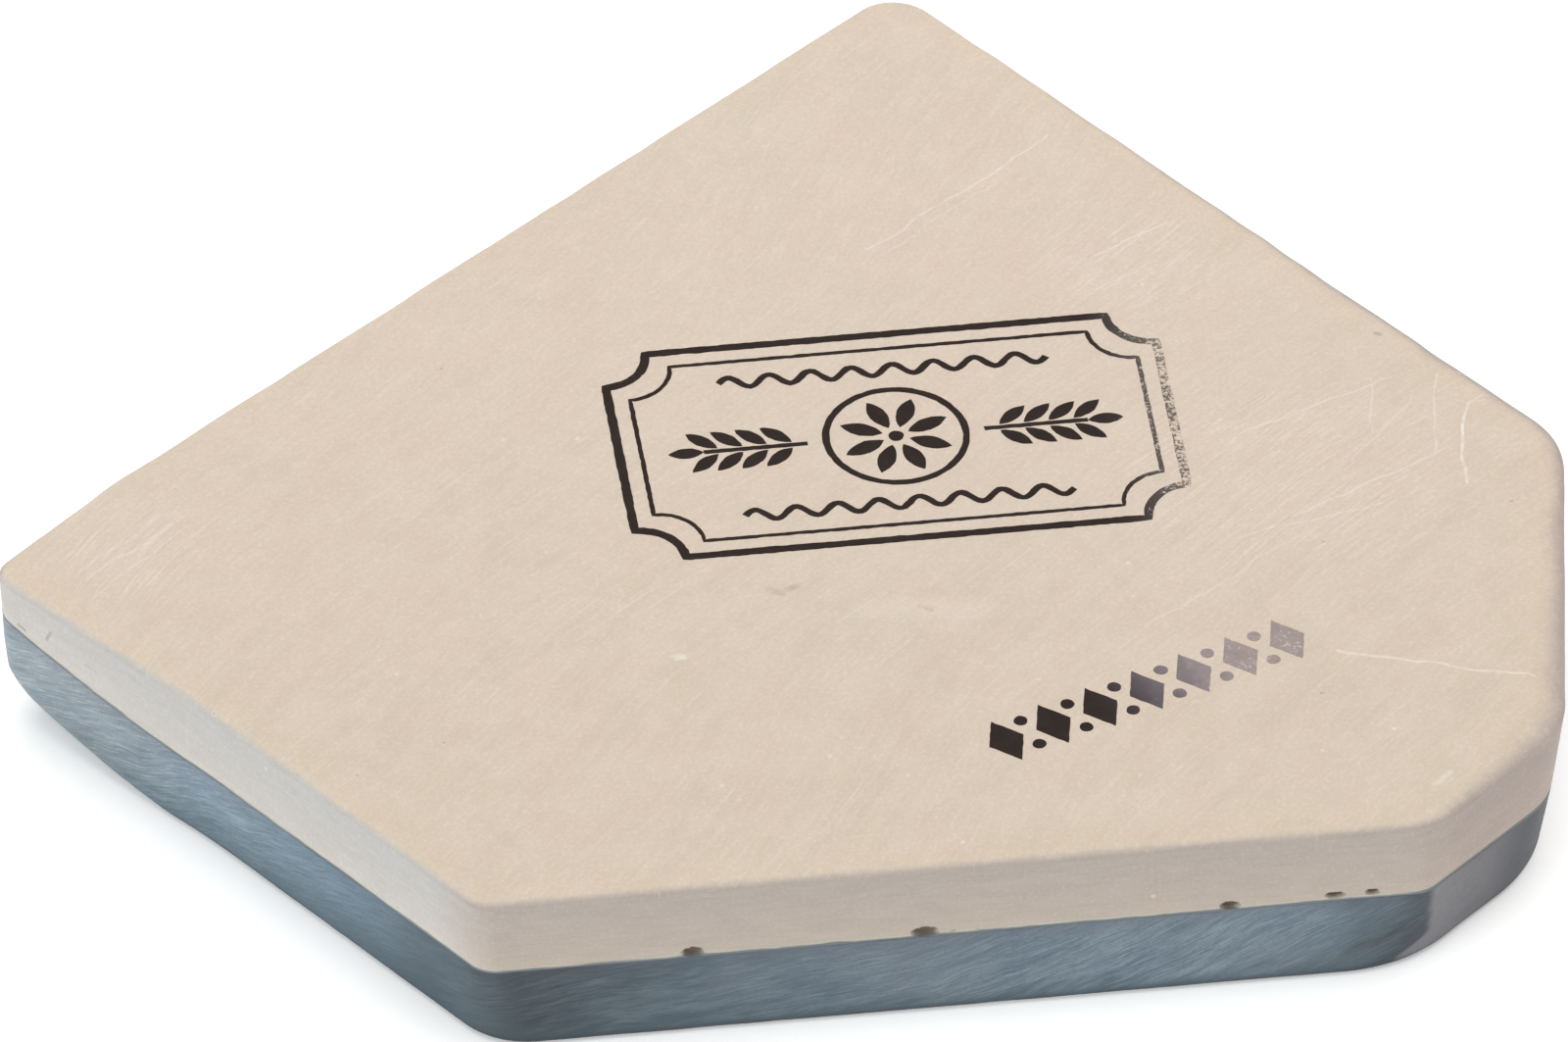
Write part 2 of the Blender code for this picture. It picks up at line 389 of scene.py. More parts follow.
def dig_pits(points, normals):
    """Sinks the pits into the front side. Also returns how deep in a pit each point is, from 0 to 1."""
    share = np.zeros(len(points))
    for x, z, width, height in PITS:
        across = (points[:, 0] - (x - ORIGIN[0])) / (width / 2)
        up = (points[:, 2] - (BOND_TOP + z)) / (height / 2)
        share = np.maximum(share, 1.0 - across**2 - up**2)
    share = np.where(normals[:, 1] > 0.9, np.maximum(share, 0.0), 0.0)
    points = points.copy()
    points[:, :2] += normals * (PIT_DEPTH * np.sqrt(share))[:, None]
    return points, share


def chip(points, places):
    """Bites small hollows out of an edge. places holds (x, y, z, radius)."""
    points = points.copy()
    for x, y, z, radius in places:
        away = points - np.array((x, y, z))
        distance = np.linalg.norm(away, axis=1)
        near = distance < radius
        points[near] += away[near] * (radius / np.maximum(distance[near], 1e-6) - 1.0)[:, None]
    return points


def edge_chips(walls, heights, normal, count, sizes, seed):
    """Places and radii of small chips along an edge, seeded so that they are always the same."""
    rng = random.Random(seed)
    edge = walls.at(heights)
    heights = np.broadcast_to(heights, len(edge))
    places = []
    for _ in range(count):
        i = rng.randrange(len(edge))
        radius = rng.uniform(*sizes)
        out = edge[i] - normal[i] * radius * rng.uniform(0.55, 0.8)
        places.append((out[0], out[1], heights[i] + rng.uniform(-0.1, 0.1), radius))
    return places


def make_piece(name, points, faces, values, material):
    """A closed mesh with its faces outwards. values holds each attribute's numbers, one for each point."""
    data = bpy.data.meshes.new(name)
    data.from_pydata(points, [], faces)
    for key, numbers in values.items():
        data.attributes.new(key, "FLOAT", "POINT").data.foreach_set("value", numbers)
    shell = bmesh.new()
    shell.from_mesh(data)
    bmesh.ops.recalc_face_normals(shell, faces=shell.faces)
    bmesh.ops.triangulate(shell, faces=[face for face in shell.faces if len(face.verts) > 4])
    shell.to_mesh(data)
    shell.free()
    data.materials.append(material)
    piece = bpy.data.objects.new(name, data)
    bpy.context.scene.collection.objects.link(piece)
    return piece


def skin_mesh(name, rings, values, material, closed_loop=False):
    """A smooth piece through rings of equal length. values holds each attribute's numbers, ring by ring."""
    count = len(rings[0])
    rows = len(rings)
    faces = []
    for k in range(rows if closed_loop else rows - 1):
        a, b = k * count, (k + 1) % rows * count
        faces += [(a + i, b + i, b + (i + 1) % count, a + (i + 1) % count) for i in range(count)]
    if not closed_loop:
        faces.append(tuple(range(count)))
        faces.append(tuple(range((rows - 1) * count, rows * count))[::-1])
    points = [tuple(point) for point in np.concatenate(rings) * MM]
    values = {key: np.concatenate(numbers) for key, numbers in values.items()}
    piece = make_piece(name, points, faces, values, material)
    piece.data.shade_smooth()
    piece.data.set_sharp_from_angle(angle=SHARP_ANGLE)
    return piece


def make_honing_layer(walls, material):
    bottom = BOND_TOP + climb(walls.joint, BOND_CLIMB)
    wobble = 1 + 0.30 * rough(ring(walls.top, TOP), 0.35, 3.0)
    width = (walls.ease + KNUCKLE) * wobble
    depth = (walls.drop + KNUCKLE) * wobble
    edge_start = TOP - TOP_SKIN - depth
    rings = joint_face(walls.at(bottom), BOND_TOP)[::-1]
    first = len(rings)
    low, high = HONING_STEPS
    for share in (*np.linspace(0, PIT_ZONE, low), *np.linspace(PIT_ZONE, 1, high)[1:-1]):
        heights = bottom + (edge_start - bottom) * share
        rings.append(ring(walls.at(heights), heights))
    wall_rings = range(first, len(rings))
    rings += rounded_edge(walls, width, depth, TOP - TOP_SKIN, True, TOP_STEPS)
    worn = range(first, len(rings))
    rim = worn[-1]
    rings += flat_face(rings[rim])

    # What the material reads: the height over the joint, side or top, near the rim, and the part of the left
    # front side painted paler, partly as painted light
    pits = [np.zeros(len(r)) for r in rings]
    over = [r[:, 2] - bottom for r in rings]
    on_side = [np.full(len(r), fade(k, rim - 1.5, rim - 8.0)) for k, r in enumerate(rings)]
    by_rim = [np.full(len(r), fade(abs(k - rim - 0.5), 3.2, 0.5)) for k, r in enumerate(rings)]
    # The left front side is painted paler, partly as painted light, fading out towards its front corner
    gap = np.linalg.norm(walls.top - (leaned_corners(TOP)[FRONT_LEFT] - ORIGIN), axis=1)
    left_front = walls.normal @ np.array((0.8, 0.6)) > 0.80
    pale = [np.clip((gap - 0.3) / 4.2, 0.0, 1.0) * left_front] * len(rings)

    chips = edge_chips(walls, TOP, walls.normal, count=26, sizes=(0.25, 0.55), seed=11)
    chips += edge_chips(walls, bottom, walls.joint_normal, count=14, sizes=(0.15, 0.3), seed=12)
    for k in worn:
        rings[k][:, :2] += walls.normal * SKIN
        rings[k] = wear(rings[k], walls.normal, HONING_WEAR, seed=1.0)
        rings[k] = chip(rings[k], chips)
        rings[k][:, 2] = np.minimum(rings[k][:, 2], TOP - TOP_SKIN)
    for k in wall_rings:
        rings[k], pits[k] = dig_pits(rings[k], walls.joint_normal)
    values = {"over_bond": over, "pit": pits, "on_side": on_side, "by_rim": by_rim, "pale": pale}
    return skin_mesh("honing_stone", rings, values, material)


def make_slate(walls, material):
    top = SLATE_TOP + climb(walls.joint, BOND_CLIMB)
    rise = FOOT_RISE + climb(walls.base, FOOT_CLIMB)
    wobble = 1 + 0.35 * rough(ring(walls.base, 0.0), 0.4, 6.0)
    width = FOOT_WIDTH + FOOT_CLIMB_SLOPE * (rise - FOOT_RISE) + KNUCKLE * wobble
    depth = rise + KNUCKLE * wobble
    foot = rounded_edge(walls, width, depth, 0.0, False, FOOT_STEPS)[::-1]
    rings = flat_face(foot[0])[::-1]
    first = len(rings)
    rings += foot
    for share in np.linspace(0, 1, SLATE_STEPS + 1)[1:]:
        heights = depth + (top - depth) * share
        rings.append(ring(walls.at(heights), heights))
    worn = range(first, len(rings))
    rings += joint_face(walls.at(top), SLATE_TOP)
    chips = edge_chips(walls, 0.0, walls.base_normal, count=30, sizes=(0.3, 0.6), seed=21)
    chips += edge_chips(walls, top, walls.joint_normal, count=18, sizes=(0.15, 0.35), seed=22)
    below = [top - r[:, 2] for r in rings]
    for k in worn:
        rings[k][:, :2] += walls.base_normal * SKIN
        rings[k] = wear(rings[k], walls.base_normal, SLATE_WEAR, seed=4.0)
        rings[k] = chip(rings[k], chips)
        rings[k][:, 2] = np.maximum(rings[k][:, 2], 0.0)
    return skin_mesh("slate_stone", rings, {"below_bond": below}, material)


def make_bond_line(walls, material):
    """The thin pale seam between the layers, as a closed band round the slab."""
    lift = climb(walls.joint, BOND_CLIMB)
    low, high = SLATE_TOP + SEAM_GAP, BOND_TOP - SEAM_GAP
    rings, pits, lifts = [], [], []
    for height in np.linspace(low, high, 6):
        heights = height + lift
        points = ring(walls.at(heights) + walls.joint_normal * (SKIN + 0.01), heights)
        points = wear(points, walls.joint_normal, HONING_WEAR, seed=7.0)
        points, share = dig_pits(points, walls.joint_normal)
        rings.append(points)
        pits.append(share)
        lifts.append(np.full(len(share), (height - SLATE_TOP) / (BOND_TOP - SLATE_TOP)))
    for height in (high, low):
        places = walls.at(height + lift) * 0.9
        rings.append(ring(places, height + climb(places, BOND_CLIMB)))
        pits.append(np.zeros(len(places)))
        lifts.append(np.zeros(len(places)))
    return skin_mesh("bond_line", rings, {"pit": pits, "lift": lifts}, material, closed_loop=True)


# Ink stamps


class Stamp:
    """Flat ink shapes in one mesh, drawn in millimetres about a centre, then turned and moved into place."""

    def __init__(self, name, place, material):
        self.name, self.material = name, material
        self.centre, self.turn, self.wears = place
        self.verts, self.faces, self.worn = [], [], []

    def put(self, x, y):
        """Adds the upper and the lower point of one place on a shape's rim, roughened like printed ink."""
        rag = noise.noise_vector(Vector((x * 2.2, y * 2.2, 5.0))) * 0.05
        x, y = x + rag.x, y + rag.y
        c, s = math.cos(self.turn), math.sin(self.turn)
        px = self.centre[0] + c * x - s * y
        py = self.centre[1] + s * x + c * y
        for drop in (INK_TOP, INK_BOTTOM):
            self.verts.append((px * MM, py * MM, (TOP - drop) * MM))
            self.worn.append(fade(x, *self.wears))
        return len(self.verts) - 2

    def plate(self, points):
        """A filled shape with this rim."""
        tops = [self.put(x, y) for x, y in points]
        self.faces.append(tuple(tops))
        self.faces.append(tuple(top + 1 for top in reversed(tops)))
        for a, b in zip(tops, tops[1:] + tops[:1]):
            self.faces.append((b, a, a + 1, b + 1))

    def line(self, points, width, closed=False):
        """A drawn line of this width along the points."""
        points = [np.array(p, float) for p in points]
        count = len(points)
        pairs = []
        for i, p in enumerate(points):
            before = points[i - 1] if closed or i else p
            after = points[(i + 1) % count] if closed or i < count - 1 else p
            along = (after - before) / np.linalg.norm(after - before)
            half = inward(along) * width / 2 * (1 + 0.16 * noise.noise(Vector((p[0], p[1], 2.0))))
            pairs.append((self.put(*(p - half)), self.put(*(p + half))))
        for i in range(count if closed else count - 1):
            (a, b), (c, d) = pairs[i], pairs[(i + 1) % count]
            self.faces += [(a, b, d, c), (a + 1, c + 1, d + 1, b + 1)]
            self.faces += [(a, c, c + 1, a + 1), (b, b + 1, d + 1, d)]
        if not closed:
            for a, b in (pairs[0], pairs[-1]):
                self.faces.append((a, b, b + 1, a + 1))

    def leaf(self, x, y, length, width, angle, points=20):
        """A pointed leaf that starts at x, y."""
        rim = []
        for k in range(points):
            t = k / (points / 2)
            side, t = (1, t) if t <= 1 else (-1, 2 - t)
            across = side * width / 2 * math.sin(math.pi * t) ** 0.8 if 0 < t < 1 else 0.0
            rim.append((t * length, across))
        c, s = math.cos(angle), math.sin(angle)
        self.plate([(x + c * u - s * v, y + s * u + c * v) for u, v in rim])

    def dot(self, x, y, radius, points=16):
        turns = [math.tau * k / points for k in range(points)]
        self.plate([(x + radius * math.cos(t), y + radius * math.sin(t)) for t in turns])

    def lozenge(self, x, y, width, height, steps=6):
        ends = [(x - width / 2, y), (x, y + height / 2), (x + width / 2, y), (x, y - height / 2)]
        self.plate(fine(ends, width / steps, closed=True))

    def finish(self):
        return make_piece(self.name, self.verts, self.faces, {"fade": self.worn}, self.material)


def fine(points, step=0.3, closed=False):
    """The same path with points no further apart than step."""
    result = []
    ends = points[1:] + points[:1] if closed else points[1:]
    for (ax, ay), (bx, by) in zip(points, ends):
        runs = max(1, math.ceil(math.dist((ax, ay), (bx, by)) / step))
        result += [(ax + (bx - ax) * k / runs, ay + (by - ay) * k / runs) for k in range(runs)]
    return result if closed else result + [points[-1]]


def ticket(width, height, notch):
    """A rectangle whose corners are scooped out round."""
    points = []
    for sx, sy, start in ((1, 1, -90), (-1, 1, 0), (-1, -1, 90), (1, -1, 180)):
        for k in range(9):
            angle = math.radians(start - 90 * k / 8)
            x = sx * width / 2 + notch * math.cos(angle)
            points.append((x, sy * height / 2 + notch * math.sin(angle)))
    return points


def make_cartouche(material):
    """A generic ornament: a double-lined panel with a rosette between two sprigs and two wavy lines."""
    stamp = Stamp("ink_cartouche", CARTOUCHE, material)
    notch, petals, hub, wave_step, wave_length = 2.9, 8, 0.9, 0.2, 2.65
    stamp.line(fine(ticket(35.6, 19.8, notch), closed=True), 0.60, closed=True)
    stamp.line(fine(ticket(32.8, 17.0, notch), closed=True), 0.30, closed=True)
    for k in range(petals):
        angle = math.tau * (k + 0.5) / petals
        stamp.leaf(hub * math.cos(angle), hub * math.sin(angle), 2.8, 1.15, angle)
    stamp.dot(0.0, 0.0, 0.5)
    turns = [math.tau * k / 72 for k in range(72)]
    stamp.line([(4.5 * math.cos(t), 4.5 * math.sin(t)) for t in turns], 0.45, closed=True)
    for side in (-1, 1):
        stamp.line(fine([(side * 5.7, 0.0), (side * 12.4, 0.0)]), 0.36)
        for k in range(4):
            x = side * (6.7 + 1.6 * k)
            for lean in (-1, 1):
                stamp.leaf(x, lean * 0.28, 2.45, 0.95, math.atan2(lean * 0.85, side * 1.0))
        stamp.leaf(side * 12.4, 0.0, 2.3, 1.0, 0.0 if side > 0 else math.pi)
        wave = [0.5 * math.sin(k * wave_step * math.tau / wave_length) for k in range(107)]
        stamp.line([(-10.6 + wave_step * k, side * 6.45 + lift) for k, lift in enumerate(wave)], 0.46)
    return stamp.finish()


def make_row(material):
    """A generic slanted row of lozenges and dots."""
    stamp = Stamp("ink_row", ROW, material)
    count, pitch = 7, 3.4
    for k in range(count):
        x = -10.2 + pitch * k
        stamp.lozenge(x, 0.0, 2.5, 4.1)
        if k < count - 1:
            stamp.dot(x + pitch / 2, 1.25, 0.45)
            stamp.dot(x + pitch / 2, -1.25, 0.45)
    return stamp.finish()


# Materials


class Graph:
    """Short ways to add and join shader nodes."""

    def __init__(self, tree):
        self.tree = tree
        tree.nodes.clear()

    def node(self, kind, settings=(), **inputs):
        made = self.tree.nodes.new(kind)
        for key, value in dict(settings).items():
            setattr(made, key, value)
        for key, value in inputs.items():
            self.feed(made.inputs[key.replace("_", " ")], value)
        return made

    def feed(self, socket, value):
        if isinstance(value, bpy.types.NodeSocket):
            self.tree.links.new(value, socket)
        elif hasattr(socket.default_value, "__len__") and hasattr(value, "__len__"):
            size = len(socket.default_value)
            socket.default_value = (*value, 1.0)[:size] if len(value) < size else tuple(value)[:size]
        else:
            socket.default_value = value

    def math(self, operation, *values, clamp=False):
        made = self.node("ShaderNodeMath", {"operation": operation, "use_clamp": clamp})
        for socket, value in zip(made.inputs, values):
            self.feed(socket, value)
        return made.outputs[0]

    def plus(self, a, b):
        return self.math("ADD", a, b)

    def minus(self, a, b):
        return self.math("SUBTRACT", a, b)

    def times(self, total, *others):
        for other in others:
            total = self.math("MULTIPLY", total, other)
        return total

    def about_zero(self, noise, size):
        """Noise from 0 to 1, moved to lie about zero and made this wide."""
        return self.times(self.minus(noise, 0.5), size)

    def vector(self, operation, *values):
        made = self.node("ShaderNodeVectorMath", {"operation": operation})
        sockets = (made.inputs[0], made.inputs[3]) if operation == "SCALE" else made.inputs
        for socket, value in zip(sockets, values):
            self.feed(socket, value)
        return made.outputs[1] if operation in ("DOT_PRODUCT", "LENGTH", "DISTANCE") else made.outputs[0]

    def split(self, vector):
        return self.node("ShaderNodeSeparateXYZ", Vector=vector).outputs

    def noise(self, vector, scale, detail=3.0, roughness=0.55, distortion=0.0):
        shape = {"Scale": scale, "Detail": detail, "Roughness": roughness, "Distortion": distortion}
        return self.node("ShaderNodeTexNoise", Vector=vector, **shape).outputs[0]

    def bent(self, vector, scale, detail, reach):
        """Coordinates pushed about by smooth noise, by up to half of reach."""
        push = self.node("ShaderNodeTexNoise", Vector=vector, Scale=scale, Detail=detail).outputs[1]
        push = self.vector("MULTIPLY", self.vector("SUBTRACT", push, (0.5, 0.5, 0.5)), reach)
        return self.vector("ADD", vector, push)

    def stretched(self, vector, sizes, turn=0.0):
        """Coordinates for a pattern that is drawn out to these sizes in millimetres and turned about Z."""
        made = self.node("ShaderNodeMapping", {"vector_type": "TEXTURE"}, Vector=vector)
        made.inputs["Rotation"].default_value = (0.0, 0.0, turn)
        made.inputs["Scale"].default_value = sizes
        return made.outputs[0]

    def steps(self, value, low, high, to_low=0.0, to_high=1.0):
        """Smooth change from to_low to to_high as value goes from low to high."""
        made = self.node("ShaderNodeMapRange", {"interpolation_type": "SMOOTHSTEP"}, Value=value)
        for socket, number in zip(made.inputs[1:5], (low, high, to_low, to_high)):
            self.feed(socket, number)
        return made.outputs[0]

    def curve(self, value, table, most):
        """Grey that follows a table of (value, grey) pairs smoothly. No grey in it is above most."""
        made = self.node("ShaderNodeValToRGB")
        ramp = made.color_ramp
        ramp.interpolation = "B_SPLINE"
        low, high = table[0][0], table[-1][0]
        while len(ramp.elements) < len(table):
            ramp.elements.new(0.5)
        for element, (at, grey) in zip(ramp.elements, table):
            element.position = (at - low) / (high - low)
            element.color = (grey / most, grey / most, grey / most, 1.0)
        self.feed(made.inputs[0], self.math("DIVIDE", self.minus(value, low), high - low))
        return self.vector("SCALE", made.outputs[0], most)

    def mix(self, factor, a, b, blend="MIX"):
        made = self.node("ShaderNodeMix", {"data_type": "RGBA", "blend_type": blend, "clamp_factor": True})
        self.feed(made.inputs[0], factor)
        self.feed(made.inputs[6], a)
        self.feed(made.inputs[7], b)
        return made.outputs[2]

    def painted(self, color, coats):
        """A colour under coats of (cover, paint), the last one on top."""
        for cover, paint in coats:
            color = self.mix(cover, color, paint)
        return color

    def tinted(self, color, share, low, high):
        """A colour times low where share is 0, and times high where it is 1."""
        return self.mix(1.0, color, self.mix(share, low, high), "MULTIPLY")

    def marks(self, where, table):
        """Strongest at the middle of each drawn mark of a table, and 0 away from them."""
        total = 0.0
        for start, end, width, strength in table:
            a, b = (Vector((*place, TOP)[:3]) for place in (start, end))
            along = b - a
            rel = self.vector("SUBTRACT", where, tuple(a))
            share = self.vector("DOT_PRODUCT", rel, tuple(along / along.length_squared))
            share = self.math("MULTIPLY", share, 1.0, clamp=True)
            gap = self.vector("DISTANCE", rel, self.vector("SCALE", tuple(along), share))
            total = self.math("MAXIMUM", total, self.steps(gap, width * 0.3, width * 1.3, strength, 0.0))
        return total

    def attribute(self, name):
        return self.node("ShaderNodeAttribute", {"attribute_name": name}).outputs["Fac"]

    def place(self):
        """Position on the object, in millimetres of the row frame."""
        return self.vector("SCALE", self.node("ShaderNodeTexCoord").outputs["Object"], 1 / MM)

    def surface(self, color, roughness, height, strength, distance, specular=0.5):
        bump = self.node("ShaderNodeBump", Height=height, Strength=strength, Distance=distance)
        shader = self.node("ShaderNodeBsdfPrincipled")
        self.feed(shader.inputs["Base Color"], color)
        self.feed(shader.inputs["Roughness"], roughness)
        shader.inputs["Specular IOR Level"].default_value = specular
        self.tree.links.new(bump.outputs[0], shader.inputs["Normal"])
        out = self.node("ShaderNodeOutputMaterial")
        self.tree.links.new(shader.outputs[0], out.inputs["Surface"])
        return shader


def new_material(name):
    material = bpy.data.materials.new(name)
    material.use_nodes = True
    return material, Graph(material.node_tree)


def shade(color, *factors):
    """A colour times one factor, or one for each channel."""
    factors = factors * 3 if len(factors) == 1 else factors
    return tuple(c * f for c, f in zip(color, factors))


def honing_tone():
    """Node group with the honing stone's colour, height and wear at a place on it. The ink shares it."""
    tree = bpy.data.node_groups.new("honing_tone", "ShaderNodeTree")
    g = Graph(tree)
    for name, kind in (("Color", "Color"), ("Height", "Float"), ("Wear", "Float")):
        tree.interface.new_socket(name, in_out="OUTPUT", socket_type="NodeSocket" + kind)
    place = g.place()
    x, y, _ = g.split(place)
    on_side = g.attribute("on_side")
    hue = g.noise(place, 0.11, 4.0, 0.65, 0.8)
    patches = g.noise(g.vector("ADD", place, (40.0, 0.0, 9.0)), 0.28, 4.0, 0.7, 0.4)
    grain = g.noise(place, 3.6, 2.0, 0.7)

    # Traces of honing along slow curves, stronger in some parts
    swept = g.bent(place, 0.022, 1.0, (16.0, 16.0, 0.0))
    bands = g.noise(g.stretched(swept, (9.0, 1.1, 8.0), STREAK_TURN), 1.0, 4.0, 0.68, 0.3)
    streaks = g.noise(g.stretched(swept, (2.8, 0.21, 2.0), STREAK_TURN), 1.0, 3.0, 0.65, 0.2)
    hairs = g.noise(g.stretched(swept, (8.0, 0.13, 8.0), HAIR_TURN), 1.0, 2.0, 0.6, 0.15)
    hairs = g.times(g.steps(hairs, 0.61, 0.72), g.steps(hue, 0.44, 0.58), g.minus(1.0, on_side))
    zone = STREAKED_ELSEWHERE
    for middle_x, middle_y, reach in STREAKED:
        gap = g.vector("DISTANCE", place, (middle_x, middle_y, TOP))
        zone = g.math("MAXIMUM", zone, g.steps(gap, reach * 0.3, reach, 1.0, 0.0))

    # Single marks, specks and freckles
    bent = g.bent(place, 0.25, 2.0, (1.3, 1.3, 0.0))
    broken = g.steps(g.noise(place, 1.3, 3.0, 0.7), 0.34, 0.58, 0.40, 1.0)
    scratches = g.times(g.marks(bent, PALE_MARKS), broken)
    stains = g.times(g.marks(bent, DARK_MARKS), g.steps(patches, 0.38, 0.6, 0.2, 1.0))
    cells = g.node("ShaderNodeTexVoronoi", Vector=place, Scale=0.42)
    away = cells.outputs["Distance"]
    draw = g.node("ShaderNodeSeparateColor", Color=cells.outputs["Color"]).outputs
    specks = g.times(g.steps(away, 0.04, 0.10, 1.0, 0.0), g.steps(draw[0], 0.72, 0.95))
    freckles = g.times(g.steps(away, 0.03, 0.07, 1.0, 0.0), g.steps(draw[1], 0.90, 0.94))

    rim = g.times(g.attribute("by_rim"), g.steps(g.noise(place, 1.0, 4.0, 0.75), 0.36, 0.66))
    rosy, green = shade(CREAM, 1.035, 0.985, 0.985), shade(CREAM, 0.985, 1.005, 0.965)
    top = g.mix(g.steps(hue, 0.34, 0.66), rosy, green)
    coats = (
        (g.steps(patches, 0.36, 0.66), (1.06, 1.055, 1.06)),
        (g.steps(bands, 0.40, 0.68, 0.0, 0.36), (1.10, 1.10, 1.09)),
        (g.steps(bands, 0.50, 0.30, 0.0, 0.28), (0.93, 0.925, 0.92)),
        (g.times(zone, 0.45), (1.08, 1.09, 1.12)),
        (g.times(g.steps(streaks, 0.50, 0.74), zone, 0.80), (1.24, 1.26, 1.30)),
        (g.times(g.steps(streaks, 0.48, 0.28), zone, 0.36), (0.85, 0.84, 0.83)),
        (g.times(rim, 0.45), (1.09, 1.05, 0.88)),
    )
    top = g.painted(top, [(cover, shade(CREAM, *factors)) for cover, factors in coats])
    # Painted light: the top is painted darker towards the front and lighter towards the back, in place of a
    # lamp's fall-off
    top = g.tinted(top, g.steps(y, -38.0, 34.0), (0.975, 0.975, 0.980), (1.030, 1.030, 1.050))

    # The sides: smudges, saw lines, painted bounce light that makes them paler by the bond and a little
    # darker at the top, and painted shade at the bevelled right end
    over = g.attribute("over_bond")
    smudge = g.noise(g.stretched(place, (3.0, 3.0, 0.9)), 1.0, 4.0, 0.65, 0.4)
    saw = g.noise(g.stretched(place, (6.0, 6.0, 0.10)), 1.0, 2.0, 0.6, 0.2)
    # The side colour is partly painted shade, and on the left front side partly painted light
    side = g.mix(g.attribute("pale"), SIDE_CREAM_AND_SHADE, SIDE_PALE_AND_LIT)
    for share, low, high in (
        (g.steps(smudge, 0.30, 0.70), (0.965, 0.960, 0.955), (1.03, 1.03, 1.03)),
        (g.steps(saw, 0.30, 0.70), (0.97, 0.97, 0.97), (1.03, 1.03, 1.03)),
        # Painted bounce light from the floor makes the sides paler towards the bond, and painted shade
        # darker towards the top
        (g.steps(over, 0.3, 5.0), (1.06, 1.045, 1.03), (0.965, 0.97, 0.98)),
        (g.steps(over, 0.1, 1.1), (1.06, 1.05, 1.02), WHITE),
        # Painted shade: the bevelled right end of the sides is painted darker
        (g.steps(x, 36.5, 39.5), WHITE, (0.925, 0.905, 0.925)),
    ):
        side = g.tinted(side, share, low, high)

    ragged = g.plus(on_side, g.about_zero(g.noise(place, 1.1, 4.0, 0.8), 0.5))
    color = g.mix(g.steps(ragged, 0.1, 0.9), top, side)
    color = g.painted(color, (
        (g.steps(grain, 0.30, 0.75, 0.0, 0.14), GRAIN_BROWN),
        (g.steps(grain, 0.48, 0.25, 0.0, 0.12), GRAIN_PALE),
        (g.times(hairs, 0.30), HAIR_PALE),
        (g.times(scratches, 0.9), SCRATCH_PALE),
        (stains, STAIN_BROWN),
        (g.marks(place, SIDE_FLECKS), FLECK_GREY),
        (g.times(specks, 0.45), SPECK_PALE),
        (g.times(freckles, 0.40), FRECKLE_BROWN),
        (g.steps(g.attribute("pit"), 0.0, 0.5), PIT_BROWN),
    ))

    out = g.node("NodeGroupOutput")
    g.feed(out.inputs["Color"], color)
    g.feed(out.inputs["Height"], g.plus(g.times(grain, 0.6), g.times(streaks, 0.4)))
    g.feed(out.inputs["Wear"], g.math("MAXIMUM", scratches, hairs))
    return tree


def use_tone(g, group):
    made = g.node("ShaderNodeGroup")
    made.node_tree = group
    return made.outputs


def honing_material(group):
    material, g = new_material("honing_stone")
    tone = use_tone(g, group)
    roughness = g.steps(tone["Wear"], 0.0, 1.0, 0.66, 0.82)
    g.surface(tone["Color"], roughness, tone["Height"], 0.35, FINE_BUMP, 0.4)
    return material


def ink_material(name, group, worn_ink, worn_cover, loss):
    """Stamp ink that has gone into the stone: solid where fresh, broken where worn."""
    material, g = new_material(name)
    tone = use_tone(g, group)
    place = g.place()
    worn = g.attribute("fade")
    speckle = g.noise(place, 4.5, 3.0, 0.75)
    coarse = g.noise(place, 0.8, 3.0, 0.6)
    cover = g.plus(speckle, g.times(coarse, 0.35))
    cover = g.minus(cover, g.steps(worn, 0.0, 1.0, 0.28, loss))
    cover = g.times(g.steps(cover, -0.02, 0.16), g.steps(worn, 0.2, 1.0, 0.985, worn_cover))
    ink = g.mix(g.steps(worn, 0.05, 0.7), INK_DARK, worn_ink)
    ink = g.mix(g.steps(coarse, 0.4, 0.7, 0.0, 0.35), ink, INK_BROWN)
    g.surface(g.mix(cover, tone["Color"], ink), 0.72, tone["Height"], 0.25, FINE_BUMP, 0.15)
    return material


def bond_material():
    material, g = new_material("bond_line")
    place = g.place()
    drift = g.noise(g.stretched(place, (2.5, 2.5, 0.3)), 1.0, 4.0, 0.65)
    level = g.plus(g.attribute("lift"), g.about_zero(drift, 1.3))
    level = g.minus(level, g.steps(g.split(place)[0], 35.5, 37.5, 0.0, 0.75))
    color = g.mix(g.steps(level, 0.30, 0.95), BOND_GREY, BOND_CREAM)
    color = g.mix(g.steps(g.attribute("pit"), 0.0, 0.5), color, PIT_BROWN)
    g.surface(color, 0.75, drift, 0.3, FINE_BUMP, 0.4)
    return material


